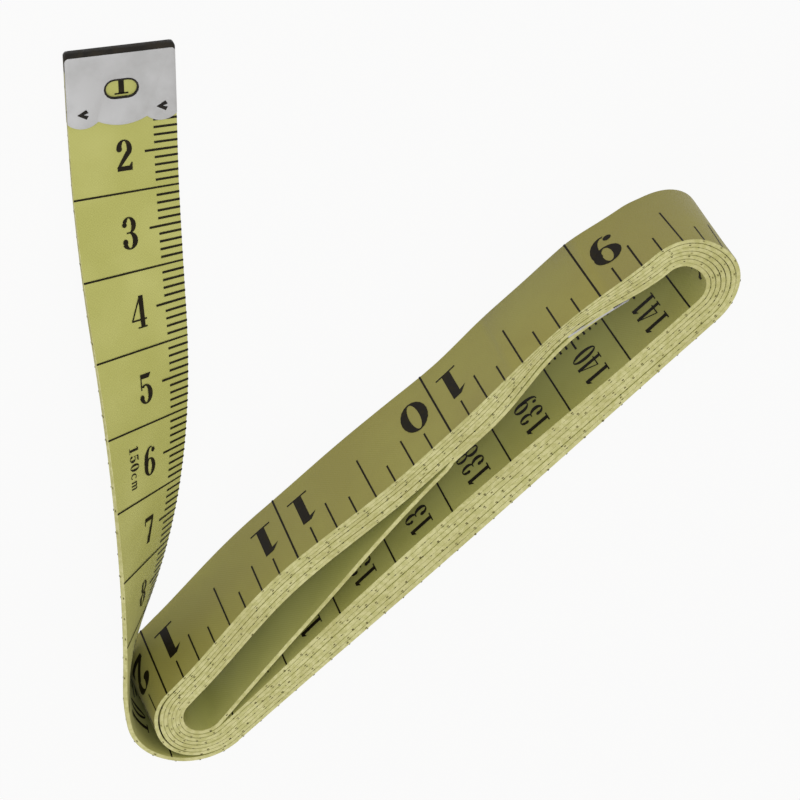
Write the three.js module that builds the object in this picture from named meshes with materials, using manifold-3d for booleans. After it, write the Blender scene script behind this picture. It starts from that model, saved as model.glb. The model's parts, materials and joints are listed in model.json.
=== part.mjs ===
// Cloth tape measure, wound by hand into a long oval coil that stands on the tape's edges.
// The zero end leaves the outer turn at the coil's left end, twists over and lies flat on the table
// in its metal clip. The blank end crosses the space inside the coil, in a clip of its own.
// Millimetres, +Z up, standing on z = 0, with +X along the coil.
import * as THREE from "three";
import { mergeVertices } from "three/addons/utils/BufferGeometryUtils.js";
import Module from "manifold-3d";

const wasm = await Module();
wasm.setup();

// Tape
const TAPE_WIDTH = 13;
const TAPE_THICKNESS = 0.2;

// Coil: turns wound round two end circles
const TURNS = 7;
const TURN_GAP = 0.43;
const END_SPACING = 84.4;
const INNER_LEFT_RADIUS = 2.9;
const INNER_RIGHT_RADIUS = 3.2;
const RIGHT_SLACK = 0.05;
// The lower flank bows, its outer turns most, and the upper flank bulges on both sides of a waist
const LOWER_BOW = 0.5;
const LEFT_BULGE = 1.5;
const LEFT_BULGE_AT = 0.24;
const LEFT_BULGE_REACH = 0.28;
const RIGHT_BULGE = 0.6;
const RIGHT_BULGE_AT = 0.8;
const RIGHT_BULGE_REACH = 0.2;
// The first wrap stands off at the left end, and closes up by its foot
const FIRST_SLACK = 0.1;
const FIRST_SLACK_TURN = 0.065;

// Leader: wraps the left end, leaves the coil by a neck and twists from standing to lying flat
const LEAVE_HEADING = THREE.MathUtils.degToRad(42);
const NECK_HEADING = THREE.MathUtils.degToRad(30.3);
const NECK_RADIUS = 34;
const LEADER_HEADING = THREE.MathUtils.degToRad(48.5);
const LEADER_EASE_RADIUS = 153;
const LEADER_LENGTH = 89.8;
const FLAT_LENGTH = 7;
const TWIST_LENGTH = 91;
const TWIST_POWER = 1.45;
const TWIST_SOFTNESS = 0.05;
const LEADER_LIFT = 3.85;
const TIP_LENGTH = 34;

// Tail: crosses the inside of the coil and runs along its upper flank to near the right end
const TAIL_HEADING = THREE.MathUtils.degToRad(9);
const TAIL_EASE_RADIUS = 200;
const TAIL_SETBACK = 3.5;
const TAIL_CLEARANCE = 0.5;

// Flexing places, where the strip is parted
const FLEX_GAP = 0.5;

// End clips of folded sheet metal
const SHEET = 0.3;
const CLIP_CLEARANCE = 0.3;
const CLIP_LENGTH = 9.8;
const CLIP_CORNER = 0.8;
const CLIP_END_WALL = 0.4;
const LOBE_WIDTH = 3.6;
const SCALLOP_DEPTH = 0.75;
const WINDOW_LENGTH = 3.6;
const WINDOW_WIDTH = 2;
const WINDOW_FROM_END = 5.1;
const PRONG_SIZE = 1.4;
const PRONG_FROM_EDGE = 1.8;
const PRONG_FROM_MOUTH = 1.85;

// Facets
const ARC_STEPS = 8;
const FLANK_STEPS = 12;
const LEADER_STEP = 2.5;
const CURVE_SEGMENTS = 6;

// Sizes worked out from those above
const PITCH = TAPE_THICKNESS + TURN_GAP;
const CLIP_HEIGHT = TAPE_THICKNESS + 2 * (CLIP_CLEARANCE + SHEET);
const TAPE_END_GAP = CLIP_END_WALL + CLIP_CLEARANCE;
const UP = new THREE.Vector3(0, 0, 1);

const smooth = (x) => THREE.MathUtils.smoothstep(x, 0, 1);

// End circles, flank direction and radii after a number of turns, counted from the outside inwards
function beltAt(turn) {
  const wound = PITCH * (TURNS - turn);
  const standOff = FIRST_SLACK * (1 - smooth(turn / FIRST_SLACK_TURN));
  const leftRadius = INNER_LEFT_RADIUS + wound + standOff;
  const rightRadius = INNER_RIGHT_RADIUS + wound;
  const leftX = -END_SPACING / 2;
  const rightX = END_SPACING / 2 - RIGHT_SLACK * turn;
  const taper = Math.asin((leftRadius - rightRadius) / (rightX - leftX));
  return { turn, leftRadius, rightRadius, leftX, rightX, taper };
}

// Point at an angle on one end circle
function onCircle(x, radius, angle) {
  return new THREE.Vector2(x + radius * Math.cos(angle), radius * Math.sin(angle));
}

// Stretches of one turn in winding order: each has its share of the turn, its steps and its point
const STRETCHES = [
  {
    share: 0.065,
    steps: ARC_STEPS,
    point: (b, v) => onCircle(b.leftX, b.leftRadius, Math.PI + v * (Math.PI / 2 + b.taper)),
  },
  { share: 0.365, steps: FLANK_STEPS, point: (b, v) => onFlank(b, -1, v, lowerBow(b.turn, v)) },
  {
    share: 0.14,
    steps: 2 * ARC_STEPS,
    point: (b, v) => onCircle(b.rightX, b.rightRadius, (2 * v - 1) * (Math.PI / 2 - b.taper)),
  },
  { share: 0.365, steps: FLANK_STEPS, point: (b, v) => onFlank(b, 1, 1 - v, upperBulge(1 - v)) },
  {
    share: 0.065,
    steps: ARC_STEPS,
    point: (b, v) => onCircle(b.leftX, b.leftRadius, Math.PI + (v - 1) * (Math.PI / 2 + b.taper)),
  },
];

// How far a flank stands out from the straight line between the end circles
const lowerBow = (turn, v) => LOWER_BOW * (1 - turn / TURNS) * Math.sin(Math.PI * v) ** 2;
function upperBulge(v) {
  const hump = (at, reach) => Math.cos((Math.PI / 2) * THREE.MathUtils.clamp((v - at) / reach, -1, 1)) ** 2;
  const left = LEFT_BULGE * hump(LEFT_BULGE_AT, LEFT_BULGE_REACH);
  return left + RIGHT_BULGE * hump(RIGHT_BULGE_AT, RIGHT_BULGE_REACH);
}

// Point on a flank, from the left end to the right, standing out by a given distance
function onFlank(b, side, v, out) {
  const angle = side * (Math.PI / 2 - b.taper);
  const left = onCircle(b.leftX, b.leftRadius, angle);
  const right = onCircle(b.rightX, b.rightRadius, angle);
  return left.lerp(right, v).add(new THREE.Vector2(Math.cos(angle), Math.sin(angle)).multiplyScalar(out));
}

// Plan points of whole turns, from one turn number to another, both at the coil's left end
function turnPoints(first, last) {
  const points = [];
  for (let turn = first; turn < last; turn += 1) {
    let start = turn;
    for (const { share, steps, point } of STRETCHES) {
      for (let i = 0; i < steps; i += 1) {
        const v = i / steps;
        points.push(point(beltAt(start + v * share), v));
      }
      start += share;
    }
  }
  return points;
}

// Plan points of the last stretch of arc at the left end, from one angle to another
function leftArc(turn, fromAngle, toAngle, steps) {
  const sweep = Math.PI / 2 + beltAt(turn).taper;
  const points = [];
  for (let i = 0; i <= steps; i += 1) {
    const angle = fromAngle + ((toAngle - fromAngle) * i) / steps;
    const b = beltAt(turn + ((angle - Math.PI) / sweep) * STRETCHES[0].share);
    points.push(onCircle(b.leftX, b.leftRadius, angle));
  }
  return points;
}

// Plan points along a curve of given headings, from a point, in even steps
function walk(from, length, headingAt) {
  const count = Math.ceil(length / LEADER_STEP);
  const step = length / count;
  const points = [];
  const at = from.clone();
  for (let i = 0; i < count; i += 1) {
    const heading = headingAt((i + 0.5) * step);
    at.add(new THREE.Vector2(Math.cos(heading), Math.sin(heading)).multiplyScalar(step));
    points.push(at.clone());
  }
  return points;
}

// Leader in plan, from the zero end to the foot of the coil's left end
const leaveAngle = LEAVE_HEADING + Math.PI / 2;
const footAngle = (3 * Math.PI) / 2 + beltAt(STRETCHES[0].share).taper;
const wrap = leftArc(0, leaveAngle, footAngle, 3 * ARC_STEPS);
const neckLength = NECK_RADIUS * (LEAVE_HEADING - NECK_HEADING);
const away = walk(wrap[0], LEADER_LENGTH, (s) =>
  s < neckLength
    ? LEAVE_HEADING - s / NECK_RADIUS
    : Math.min(NECK_HEADING + (s - neckLength) / LEADER_EASE_RADIUS, LEADER_HEADING),
);
const leaderPlan = [...away.reverse(), ...wrap];

// Coil in plan, from the foot of the left end to where the tail starts across
const firstTurn = turnPoints(0, 1).slice(ARC_STEPS);
const tailAngle = (3 * Math.PI) / 2 + TAIL_HEADING;
const coilPlan = [
  ...firstTurn,
  ...turnPoints(1, TURNS),
  ...leftArc(TURNS, Math.PI, tailAngle, 2 * ARC_STEPS),
];

// Tail in plan: straight, then eased to run along the innermost upper flank, from one pitch inside its
// waist to where the clip hangs clear of it
const innerFlank = (v) => {
  const b = beltAt(TURNS - STRETCHES[4].share - v * STRETCHES[3].share);
  return onFlank(b, 1, v, upperBulge(v));
};
const waistAt = (LEFT_BULGE_AT + LEFT_BULGE_REACH + RIGHT_BULGE_AT - RIGHT_BULGE_REACH) / 2;
const waist = innerFlank(waistAt).add(new THREE.Vector2(0, -PITCH));
const tailEndX = beltAt(TURNS).rightX - TAIL_SETBACK;
const clipX = tailEndX - CLIP_LENGTH / 2;
const clipDrop = TAPE_THICKNESS / 2 + TAIL_CLEARANCE + CLIP_HEIGHT / 2;
const clipPoint = innerFlank((clipX + END_SPACING / 2) / (beltAt(TURNS).rightX + END_SPACING / 2));
const tailEndHeading = Math.atan2(clipPoint.y - clipDrop - waist.y, clipX - waist.x);
const tailStart = coilPlan.at(-1);
const easeTurn = TAIL_HEADING - tailEndHeading;
const toWaist = waist.clone().sub(tailStart).rotateAround(new THREE.Vector2(), -tailEndHeading);
const easeRise = TAIL_EASE_RADIUS * (1 - Math.cos(easeTurn));
const tailStraight = (toWaist.y - easeRise) / Math.sin(easeTurn);
const easeReach = tailStraight * Math.cos(easeTurn) + TAIL_EASE_RADIUS * Math.sin(easeTurn);
const alongFlank = (tailEndX - waist.x) / Math.cos(tailEndHeading) + toWaist.x - easeReach;
const tailLength = tailStraight + TAIL_EASE_RADIUS * easeTurn + alongFlank;
const tailPlan = [
  tailStart,
  ...walk(tailStart, tailLength, (s) =>
    Math.max(TAIL_HEADING - Math.max(s - tailStraight, 0) / TAIL_EASE_RADIUS, tailEndHeading),
  ),
];

// Distance along a line of plan points, at each point
function runs(points) {
  const out = [0];
  for (let i = 1; i < points.length; i += 1) {
    out.push(out[i - 1] + points[i].distanceTo(points[i - 1]));
  }
  return out;
}

// Sections along a plan line: foot of the strip, direction along it, and direction across it.
// lean is the angle from standing, out from the coil, and lift the height of the foot.
function sections(points, leanAt, liftAt) {
  const along = runs(points);
  return points.map((point, i) => {
    const before = points[Math.max(i - 1, 0)];
    const after = points[Math.min(i + 1, points.length - 1)];
    const heading = new THREE.Vector2()
      .add(after.clone().sub(point).normalize())
      .add(point.clone().sub(before).normalize())
      .normalize();
    const tangent = new THREE.Vector3(heading.x, heading.y, 0);
    const outward = tangent.clone().cross(UP);
    const lean = leanAt(along[i]);
    const across = UP.clone().multiplyScalar(Math.cos(lean)).addScaledVector(outward, Math.sin(lean));
    const face = outward.clone().multiplyScalar(Math.cos(lean)).addScaledVector(UP, -Math.sin(lean));
    const height = liftAt(along[i]) + (TAPE_THICKNESS / 2) * Math.sin(lean);
    const foot = new THREE.Vector3(point.x, point.y, height);
    return { s: along[i], foot, tangent, across, face };
  });
}

// Section at any distance along a row of sections
function sectionAt(rows, s) {
  const i = Math.min(Math.max(rows.findIndex((row) => row.s >= s), 1), rows.length - 1);
  const [a, b] = [rows[i - 1], rows[i]];
  const k = (s - a.s) / (b.s - a.s);
  const mix = (name) => a[name].clone().lerp(b[name], k);
  return {
    s,
    foot: mix("foot"),
    tangent: mix("tangent").normalize(),
    across: mix("across").normalize(),
    face: mix("face").normalize(),
  };
}

// Part of a row of sections between two distances
function cutSections(rows, from, to) {
  const inside = rows.filter((row) => row.s > from + FLEX_GAP / 2 && row.s < to - FLEX_GAP / 2);
  return [sectionAt(rows, from), ...inside, sectionAt(rows, to)];
}

// Closed strip of rectangular section through a row of sections
function stripGeometry(rows) {
  const positions = [];
  for (const { foot, across, face } of rows) {
    for (const [v, side] of [[0, -1], [0, 1], [1, 1], [1, -1]]) {
      const corner = foot.clone();
      corner.addScaledVector(across, v * TAPE_WIDTH);
      corner.addScaledVector(face, (side * TAPE_THICKNESS) / 2);
      positions.push(...corner.toArray());
    }
  }
  // Both faces are split along the same diagonal, so that a twisted strip keeps its thickness
  const innerFace = 3;
  const index = [];
  for (let i = 0; i < rows.length - 1; i += 1) {
    for (let j = 0; j < 4; j += 1) {
      const [a, b] = [4 * i + j, 4 * i + ((j + 1) % 4)];
      if (j === innerFace) {
        index.push(a, a + 4, b, a + 4, b + 4, b);
      } else {
        index.push(a, b + 4, b, a, a + 4, b + 4);
      }
    }
  }
  const last = 4 * (rows.length - 1);
  index.push(0, 1, 2, 0, 2, 3, last, last + 2, last + 1, last, last + 3, last + 2);
  const geometry = new THREE.BufferGeometry();
  geometry.setAttribute("position", new THREE.Float32BufferAttribute(positions, 3));
  geometry.setIndex(index);
  return geometry;
}

// Least clear gap between turns, measured from each point to every stretch a quarter turn or more away
function leastGap(points) {
  const along = runs(points);
  const apart = END_SPACING / 2;
  let least = Infinity;
  const nearest = new THREE.Vector3();
  for (let i = 0; i < points.length; i += 1) {
    const point = new THREE.Vector3(points[i].x, points[i].y, 0);
    for (let j = 1; j < points.length; j += 1) {
      if (Math.min(Math.abs(along[j] - along[i]), Math.abs(along[j - 1] - along[i])) < apart) {
        continue;
      }
      const a = new THREE.Vector3(points[j - 1].x, points[j - 1].y, 0);
      const b = new THREE.Vector3(points[j].x, points[j].y, 0);
      new THREE.Line3(a, b).closestPointToPoint(point, true, nearest);
      least = Math.min(least, nearest.distanceTo(point) - TAPE_THICKNESS);
    }
  }
  return least;
}

// Solid of a closed geometry, and the geometry of a solid
function toSolid(geometry) {
  const bare = geometry.clone();
  bare.deleteAttribute("normal");
  bare.deleteAttribute("uv");
  const merged = mergeVertices(bare);
  const vertProperties = new Float32Array(merged.attributes.position.array);
  const triVerts = new Uint32Array(merged.index.array);
  return new wasm.Manifold(new wasm.Mesh({ numProp: 3, vertProperties, triVerts }));
}

function toGeometry(solid) {
  const mesh = solid.getMesh();
  const geometry = new THREE.BufferGeometry();
  geometry.setAttribute("position", new THREE.BufferAttribute(new Float32Array(mesh.vertProperties), 3));
  geometry.setIndex(new THREE.BufferAttribute(new Uint32Array(mesh.triVerts), 1));
  return geometry;
}

// Prism of a plan shape between two heights
function prism(shape, low, high) {
  const options = { depth: high - low, bevelEnabled: false, curveSegments: CURVE_SEGMENTS };
  return toSolid(new THREE.ExtrudeGeometry(shape, options).translate(0, 0, low));
}

// Arc of a circle through two points of the clip's mouth, bulging away from the fold
function scallop(shape, toX, toY) {
  const from = shape.currentPoint.clone();
  const half = Math.abs(toY - from.y) / 2;
  const radius = (half ** 2 + SCALLOP_DEPTH ** 2) / (2 * SCALLOP_DEPTH);
  const centreX = toX - SCALLOP_DEPTH + radius;
  const centreY = (from.y + toY) / 2;
  const start = Math.atan2(from.y - centreY, from.x - centreX);
  const end = Math.atan2(toY - centreY, toX - centreX);
  shape.absarc(centreX, centreY, radius, start, end, false);
}

// End clip: a sheet folded over the strip's end, with a scalloped mouth, a window and two staked prongs.
// The fold is at x = 0, the mouth towards -X, and the strip's middle plane is z = 0.
function clipGeometry() {
  const side = TAPE_WIDTH / 2;
  const mouth = SCALLOP_DEPTH - CLIP_LENGTH;
  const outline = new THREE.Shape();
  outline.moveTo(mouth, side);
  scallop(outline, mouth, side - LOBE_WIDTH);
  scallop(outline, mouth, LOBE_WIDTH - side);
  scallop(outline, mouth, -side);
  outline.lineTo(-CLIP_CORNER, -side);
  outline.absarc(-CLIP_CORNER, CLIP_CORNER - side, CLIP_CORNER, -Math.PI / 2, 0, false);
  outline.lineTo(0, side - CLIP_CORNER);
  outline.absarc(-CLIP_CORNER, side - CLIP_CORNER, CLIP_CORNER, 0, Math.PI / 2, false);
  outline.closePath();

  const slotHeight = TAPE_THICKNESS + 2 * CLIP_CLEARANCE;
  const slotLength = CLIP_LENGTH - CLIP_END_WALL;
  const slot = new THREE.BoxGeometry(2 * slotLength, 2 * TAPE_WIDTH, slotHeight);
  slot.translate(-CLIP_END_WALL - slotLength, 0, 0);

  const round = WINDOW_WIDTH / 2;
  const reach = WINDOW_LENGTH / 2 - round;
  const opening = new THREE.Shape();
  opening.absarc(-WINDOW_FROM_END, reach, round, 0, Math.PI, false);
  opening.absarc(-WINDOW_FROM_END, -reach, round, Math.PI, 2 * Math.PI, false);
  opening.closePath();

  let solid = prism(outline, -CLIP_HEIGHT / 2, CLIP_HEIGHT / 2).subtract(toSolid(slot));
  solid = solid.subtract(prism(opening, 0, CLIP_HEIGHT));
  const prongX = PRONG_FROM_MOUTH - CLIP_LENGTH;
  for (const end of [-1, 1]) {
    const y = end * (side - PRONG_FROM_EDGE);
    const prong = new THREE.Shape();
    prong.moveTo(prongX, y + PRONG_SIZE / 2);
    prong.lineTo(prongX - PRONG_SIZE / 2, y - PRONG_SIZE / 2);
    prong.lineTo(prongX, y);
    prong.lineTo(prongX + PRONG_SIZE / 2, y - PRONG_SIZE / 2);
    prong.closePath();
    solid = solid.subtract(prism(prong, 0, CLIP_HEIGHT));
  }
  return toGeometry(solid);
}

// Materials
const CLOTH = { color: 0xafb269, roughness: 0.62, metalness: 0 };
const STEEL = { color: 0xb8b8b8, roughness: 0.42, metalness: 1 };

function mesh(name, geometry, finish) {
  geometry.computeVertexNormals();
  const piece = new THREE.Mesh(geometry, new THREE.MeshStandardMaterial(finish));
  piece.name = name;
  return piece;
}

// Clip on a strip's end, with its window on the given side and its fold past the end
function clipOn(name, end, outDirection, windowSide) {
  const clip = mesh(name, clipGeometry(), STEEL);
  const across = windowSide.clone().cross(outDirection);
  clip.setRotationFromMatrix(new THREE.Matrix4().makeBasis(outDirection, across, windowSide));
  clip.position.copy(end.foot).addScaledVector(end.across, TAPE_WIDTH / 2);
  clip.position.addScaledVector(outDirection, TAPE_END_GAP);
  return clip;
}

// Leader sections: flat in the clip, twisting ever faster to upright, which is reached softly
const leaderLean = (s) => {
  const leftToTurn = 1 - (Math.max(s - FLAT_LENGTH, 0) / TWIST_LENGTH) ** TWIST_POWER;
  return (Math.PI / 4) * Math.min(leftToTurn + Math.hypot(leftToTurn, TWIST_SOFTNESS), 2);
};
const clipRest = CLIP_HEIGHT / 2 - TAPE_THICKNESS / 2;
const leaderRun = runs(leaderPlan).at(-1);
const leaderLift = (s) => {
  const k = Math.max(s - CLIP_LENGTH, 0) / (leaderRun - CLIP_LENGTH);
  return clipRest * (1 - smooth(s / CLIP_LENGTH - 1)) + LEADER_LIFT * Math.sin(Math.PI * k) ** 2;
};
const leader = sections(leaderPlan, leaderLean, leaderLift);
const upright = () => 0;
const coil = sections(coilPlan, upright, upright);
const tail = sections(tailPlan, upright, upright);

const leaderEnd = leader.at(-1).s;
const coilEnd = coil.at(-1).s;
const tailEnd = tail.at(-1).s;
const leaderOut = leader[0].tangent.clone().negate();
const tailOut = tail.at(-1).tangent.clone();

const tapeMeasure = new THREE.Group();
tapeMeasure.name = "tape_measure";
tapeMeasure.add(
  mesh("tape_coil", stripGeometry(cutSections(coil, FLEX_GAP, coilEnd)), CLOTH),
  mesh("tape_leader", stripGeometry(cutSections(leader, TIP_LENGTH + FLEX_GAP, leaderEnd)), CLOTH),
  mesh("tape_tip", stripGeometry(cutSections(leader, TAPE_END_GAP, TIP_LENGTH)), CLOTH),
  mesh("tape_tail", stripGeometry(cutSections(tail, FLEX_GAP, tailEnd - TAPE_END_GAP)), CLOTH),
  clipOn("leader_clip", sectionAt(leader, TAPE_END_GAP), leaderOut, UP),
  clipOn("tail_clip", sectionAt(tail, tailEnd - TAPE_END_GAP), tailOut, tail.at(-1).face.clone().negate()),
);

// The frame's origin is under the middle of the whole object
const box = new THREE.Box3().setFromObject(tapeMeasure);
const middle = box.getCenter(new THREE.Vector3());
tapeMeasure.position.set(-middle.x, -middle.y, -box.min.z);

// Flexing axes in the object's frame, each half a thickness from the end of the strip that moves
const half = TAPE_THICKNESS / 2;
const tipFlex = sectionAt(leader, TIP_LENGTH + half);
const flexes = {
  leader_swing: { foot: sectionAt(coil, half).foot, axis: UP },
  tip_lift: { foot: tipFlex.foot, axis: tipFlex.across.clone().negate() },
  tail_swing: { foot: sectionAt(tail, FLEX_GAP - half).foot, axis: UP },
};
for (const [name, { foot, axis }] of Object.entries(flexes)) {
  const point = foot.clone().add(tapeMeasure.position);
  const row = [point, axis].map((v) => v.toArray().map((x) => x.toFixed(4)).join(" "));
  console.log(`${name} at ${row[0]} mm about ${row[1]}`);
}
console.log(`least gap between turns ${leastGap([...leaderPlan, ...coilPlan, ...tailPlan]).toFixed(3)} mm`);
console.log(`tape length ${(leaderEnd + coilEnd + tailEnd).toFixed(1)} mm`);

export default tapeMeasure;
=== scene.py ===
"""Cloth tape measure: a printed strip wound into a long oval coil, with a metal clip on each end.

The strip and its print are made flat, as the real tape is, and then laid along the wound course.
Flat places are (distance from the zero end, height across the tape, half thicknesses out of its middle).
Plan points are complex numbers, in millimetres from the middle between the coil's two ends.
"""
import json
import math

import bmesh
import bpy
import numpy as np
from mathutils import Matrix, Vector


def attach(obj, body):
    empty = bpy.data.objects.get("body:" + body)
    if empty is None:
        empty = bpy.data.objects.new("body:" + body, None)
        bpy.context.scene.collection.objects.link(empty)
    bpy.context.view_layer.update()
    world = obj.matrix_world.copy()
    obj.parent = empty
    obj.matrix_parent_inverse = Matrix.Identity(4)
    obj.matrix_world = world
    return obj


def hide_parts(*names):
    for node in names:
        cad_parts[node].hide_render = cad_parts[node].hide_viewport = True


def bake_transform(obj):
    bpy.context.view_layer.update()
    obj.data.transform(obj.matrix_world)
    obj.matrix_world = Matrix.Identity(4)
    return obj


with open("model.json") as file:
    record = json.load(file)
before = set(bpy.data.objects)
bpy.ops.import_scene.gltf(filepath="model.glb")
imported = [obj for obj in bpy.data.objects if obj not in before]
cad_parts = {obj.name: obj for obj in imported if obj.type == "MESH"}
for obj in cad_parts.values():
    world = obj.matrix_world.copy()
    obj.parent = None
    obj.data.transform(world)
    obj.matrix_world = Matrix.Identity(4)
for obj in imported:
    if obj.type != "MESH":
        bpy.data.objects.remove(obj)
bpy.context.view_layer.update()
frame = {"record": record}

# Strip and coil in millimetres, near the solids' course
MM = 0.001
TAPE_WIDTH = 13.0
SOLID_THICKNESS = 0.2
TURNS = 7
PITCH = 0.63
END_SPACING = 83.75
INNER_LEFT_RADIUS = 2.9
INNER_RIGHT_RADIUS = 3.2
LOWER_BOW = 0.2
LOWER_SPREAD = 0.8
FIRST_SLACK = 0.1
FIRST_SLACK_TURN = 0.065

# Shares of a turn: half of the left end, lower flank, right end, upper flank, rest of the left end
SHARES = np.array((0.065, 0.365, 0.14, 0.365, 0.065))

# Leader and tail
LEAVE_HEADING = math.radians(42)
NECK_HEADING = math.radians(30.8)
NECK_RADIUS = 34.0
LEADER_HEADING = math.radians(49.1)
LEADER_EASE_RADIUS = 153.0
LEADER_LENGTH = 90.6
LEADER_LIFT = 3.85
FLAT_LENGTH = 7.0
TWIST_LENGTH = 91.0
TWIST_POWER = 1.45
TWIST_SOFT = 0.05
TIP_LENGTH = 34.0
TAIL_HEADING = math.radians(9)
TAIL_EASE_RADIUS = 200.0
TAIL_SETBACK = 5.9
TAIL_CLEARANCE = 0.1

# Lengths of cloth that bend before and after each hinge
TIP_BEND = (7.0, 7.5)
LEADER_BEND = (8.0, 8.0)
TAIL_BEND = (3.0, 9.0)

# Bulges of the upper flank: height, place along it and reach, the last two as shares of the flank
LEFT_BULGE = (1.5, 0.24, 0.28)
RIGHT_BULGE = (0.6, 0.8, 0.2)

# How much closer the turns lie, all together, than at the even pitch, and the shares over which it sets in
PRESS = 0.9
PRESS_REACH = 0.7
GATHER_FROM = 0.4
RIGHT_PRESS = (1.7, 0.82, 0.18)
LEFT_PRESS = 0.5
LEFT_PRESS_REACH = 0.3

# Swelling of the left end near the close of the first turn: height, turn and reach
SECOND_WRAP = (0.2, 0.97, 0.06)

# Inward lean of the turns at each end, with its start and reach along and across the coil
RIGHT_LEAN = math.radians(4)
RIGHT_LEAN_ALONG = (28.0, 16.0)
RIGHT_LEAN_ACROSS = (-5.6, 8.0)
LEFT_LEAN = math.radians(4)
LEFT_LEAN_ALONG = (18.0, 24.0)
LEFT_LEAN_ACROSS = (-5.0, 10.0)

# Foot of the turns: drawn in at the upper right corner, and out and in along the upper flank
CORNER_IN = 1.6
CORNER_ALONG = (33.0, 12.0)
CORNER_ANGLE = 1.2
WAIST_OUT = (0.85, -3.0, 16.0)
FLANK_IN = (0.3, 26.0, 9.0)
UPPER_SIDE = 3.0

# Cloth as it is drawn: fuller than the solids, with soft edges, and a little uneven where it is wound
FULLNESS = 0.93
CLOTH_EDGE = 0.06
CLOTH_SHARP = math.radians(30)
THREAD_SPACING = 0.42
MAP_UNIT = 100.0
WOUND_EASE = 30.0
WANDER = 0.012
WANDER_WAVES = (11.0, 17.0)
WANDER_SHIFT = 1.3
RISE = 0.12
RISE_WAVES = (53.0, 31.0)

# Rows of the cloth's mesh: turn and step from one to the next, and how near one may come to a strip's end
ROW_TURN = 0.06
ROW_STEPS = (0.25, 1.2)
ROW_CLEARANCE = 0.1
LEAST_BEND = 1e-6

# Printed scale
CENTIMETRES = 150
MM_IN_CM = 10
INCHES = 60
INCH = 25.4
EIGHTHS = 8
ZERO_AT = -1.3
INCH_ZERO_AT = -5.2
INK_LEVEL = 1.12
INK_STEP = 0.6
MM_TICK = 0.3
MM_TICK_LENGTH = 2.86
FIVE_MM_LENGTH = 4.03
CM_LINE = 0.24
INCH_TICK = 0.25
EIGHTH_LENGTH = 3.38
QUARTER_LENGTH = 5.33
HALF_LENGTH = 7.93
INCH_LINE = 0.28
CM_FIGURE = (2.1, 4.1)
HUNDREDS_FIGURE = (2.05, 3.6)
CM_FIGURE_GAP = 0.3
CM_FIGURE_RISE = 2.8
CM_FIGURE_SHIFT = 0.95
INCH_FIGURE = (4.2, 5.5)
INCH_FIGURE_MIDDLE = 5.8
INCH_FIGURE_REACH = 3.2
INCH_SINGLE_REACH = 3.7
LENGTH_MARK = (1.05, 1.5)
LENGTH_MARK_GAP = 0.15
LENGTH_MARK_AT = 55.0
LENGTH_MARK_HEIGHT = 9.9

# Inch marks run over the top edge, their depth and place in half thicknesses of the cloth
EDGE_DOT = 0.3
EDGE_DOT_DEPTH = 0.6
EDGE_DOT_FROM = 0.9
EDGE_DOT_LEVEL = 0.02
EDGE_DOTS_KEPT = 0.6
EDGE_DOT_SEED = 5

# Clips of folded sheet metal
SHEET_METAL = 0.3
CLIP_CLEARANCE = 0.3
CLIP_LENGTH = 9.8
CLIP_HEIGHT = 1.0
CLIP_CORNER = 0.5
CLIP_WALL = 0.4
CLIP_RETURN = 2.4
FOLD_SHOWN = 0.6
LOBE_WIDTH = 3.6
SCALLOP_DEPTH = 0.75
WINDOW_SIZE = (3.7, 2.1)
WINDOW_FROM_END = 5.1
# Width of the near-black ring of painted shadow round the window
WINDOW_SHADOW_WIDTH = 0.25
PRONG_SIZE = 1.3
PRONG_FROM_EDGE = 1.8
PRONG_FROM_END = 7.95
METAL_EDGE = 0.05
METAL_SHARP = math.radians(40)
METAL_MERGE = 1e-4

CLIP_REST = (CLIP_HEIGHT - SOLID_THICKNESS) / 2
TAPE_END_GAP = CLIP_WALL + CLIP_CLEARANCE
UP = np.array((0.0, 0.0, 1.0))


def smooth(x):
    """Eased step from 0 to 1."""
    x = np.clip(x, 0.0, 1.0)
    return x * x * (3 - 2 * x)


def rising(x, start, reach):
    """Eased step that begins at a start and is done after a reach."""
    return smooth((x - start) / reach)


def hump(x, height, at, reach):
    """Rounded rise about a place, down to nothing at its reach on both sides."""
    return height * np.cos(np.pi / 2 * np.clip((x - at) / reach, -1, 1)) ** 2


def end_circles(turn):
    """Radii of the two end circles and the flanks' taper after some turns."""
    wound = PITCH * (TURNS - turn)
    slack = FIRST_SLACK * (1 - smooth(turn / FIRST_SLACK_TURN)) + hump(turn, *SECOND_WRAP)
    left = INNER_LEFT_RADIUS + wound + slack
    right = INNER_RIGHT_RADIUS + wound
    return left, right, np.arcsin((left - right) / END_SPACING)


def left_end(turn, angle):
    """Plan point on the left end after some turns, by its angle."""
    return (end_circles(turn)[0] + LEFT_PRESS * turn / TURNS) * np.exp(1j * angle) - END_SPACING / 2


def gathered(v):
    """How much closer the turns lie, all together, from the tip of the right end to the upper flank."""
    return PRESS * rising(v, GATHER_FROM, 1 - GATHER_FROM)


def right_end(turn, v):
    """Plan point on the right end after some turns, a share of the way round it."""
    _, right, taper = end_circles(turn)
    radius = right + gathered(v) * turn / TURNS
    return radius * np.exp(1j * (2 * v - 1) * (np.pi / 2 - taper)) + END_SPACING / 2


def flank(turn, side, v, bow):
    """Plan point a share of the way along a flank from the left end, bowed out."""
    left, right, taper = end_circles(turn)
    out = np.exp(1j * side * (np.pi / 2 - taper))
    start, end = left * out - END_SPACING / 2, right * out + END_SPACING / 2
    return start + (end - start) * v + out * bow


def loosened(v):
    """How far the outer turn bows out on the lower flank, and the inner one in."""
    middle = np.sin(np.pi * v) ** 2
    return LOWER_BOW * middle, LOWER_SPREAD * middle - LEFT_PRESS * (1 - smooth(v / LEFT_PRESS_REACH))


def pressed(v):
    """How much closer the turns lie, all together, on the upper flank."""
    return LEFT_PRESS + (PRESS - LEFT_PRESS) * smooth(v / PRESS_REACH) + hump(v, *RIGHT_PRESS)


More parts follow.
